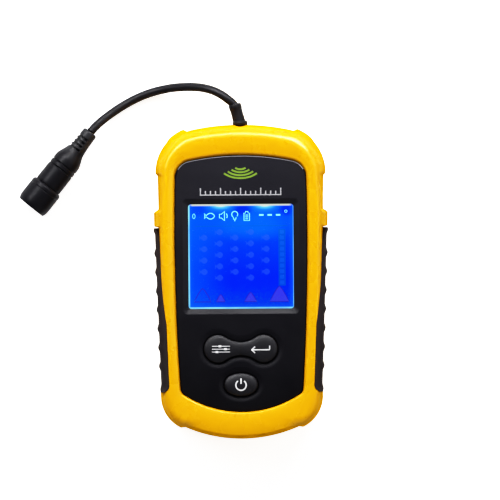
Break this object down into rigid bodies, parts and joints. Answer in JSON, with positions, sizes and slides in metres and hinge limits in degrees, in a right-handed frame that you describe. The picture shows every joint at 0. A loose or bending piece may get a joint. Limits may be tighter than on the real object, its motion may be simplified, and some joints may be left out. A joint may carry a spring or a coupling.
{
  "type": "fish finder",
  "caption": "Handheld fish finder: yellow two-part case, sunken black panel with a square lit display, rubber keys, ribbed side grips, and a short lead ending in a screw-on socket.",
  "frame": {"origin": "middle of the case's back, which lies on the floor; the lead and its socket aren't counted", "axes": "+X to the display's right, +Y along the case towards the lead, +Z out of the display"},
  "size_m": [0.1238, 0.1426, 0.03],
  "materials": {
    "yellow_plastic": "satin moulded plastic",
    "black_plastic": "fine matt texture",
    "black_rubber": "matt moulded rubber",
    "clear_lens": "clear, polished",
    "display_glass": "backlit blue",
    "white_plastic": "moulded",
    "board_laminate": "solder mask",
    "steel": "plated",
    "gold_contact": "plated",
    "ferrite": "sintered",
    "can_sleeve": "shrink sleeve",
    "wire_jacket": "extruded",
    "cell_jacket": "wrapped can"
  },
  "bodies": {
    "case": {"front_shell": "yellow_plastic", "rear_shell": "yellow_plastic", "front_panel": "black_plastic", "battery_tray": "black_plastic", "connector_body": "black_plastic", "socket_insert": "black_plastic", "alarm_buzzer": "black_plastic", "processor_chip": "black_plastic", "receiver_chip": "black_plastic", "left_grip": "black_rubber", "right_grip": "black_rubber", "keypad_mat": "black_rubber", "cable_gland": "black_rubber", "cord": "black_rubber", "case_seal": "black_rubber", "socket_seal": "black_rubber", "contact_strip": "black_rubber", "display_lens": "clear_lens", "light_guide": "clear_lens", "lcd_glass": "display_glass", "lcd_frame": "white_plastic", "lead_socket": "white_plastic", "backlight_leds": "white_plastic", "main_board": "board_laminate", "case_screws": "steel", "board_screws": "steel", "contact_plates": "steel", "contact_springs": "steel", "contact_pads": "gold_contact", "socket_contacts": "gold_contact", "pulse_transformer": "ferrite", "capacitor_cans": "can_sleeve", "sonar_leads": "wire_jacket", "battery_leads": "wire_jacket", "battery_1": "cell_jacket", "battery_2": "cell_jacket", "battery_3": "cell_jacket", "battery_4": "cell_jacket"},
    "setup_key": {"setup_key": "black_rubber", "setup_pill": "black_rubber"},
    "enter_key": {"enter_key": "black_rubber", "enter_pill": "black_rubber"},
    "power_key": {"power_key": "black_rubber", "power_pill": "black_rubber"},
    "battery_door": {"battery_door": "yellow_plastic"},
    "coupling_nut": {"coupling_nut": "black_plastic"}
  },
  "joints": [
    {"name": "setup_press", "type": "slide", "parent": "case", "child": "setup_key", "axis": [0, 0, -1], "range_m": [0, 0.001], "stiffness_N_per_m": 900},
    {"name": "enter_press", "type": "slide", "parent": "case", "child": "enter_key", "axis": [0, 0, -1], "range_m": [0, 0.001], "stiffness_N_per_m": 900},
    {"name": "power_press", "type": "slide", "parent": "case", "child": "power_key", "axis": [0, 0, -1], "range_m": [0, 0.001], "stiffness_N_per_m": 900},
    {"name": "door_slide", "type": "slide", "parent": "case", "child": "battery_door", "axis": [0, -1, 0], "range_m": [0, 0.064]},
    {"name": "nut_turn", "type": "hinge", "parent": "case", "child": "coupling_nut", "pos_m": [-0.08076, 0.03446, 0.0066], "axis": [-0.628, -0.7782, 0], "continuous": true}
  ]
}
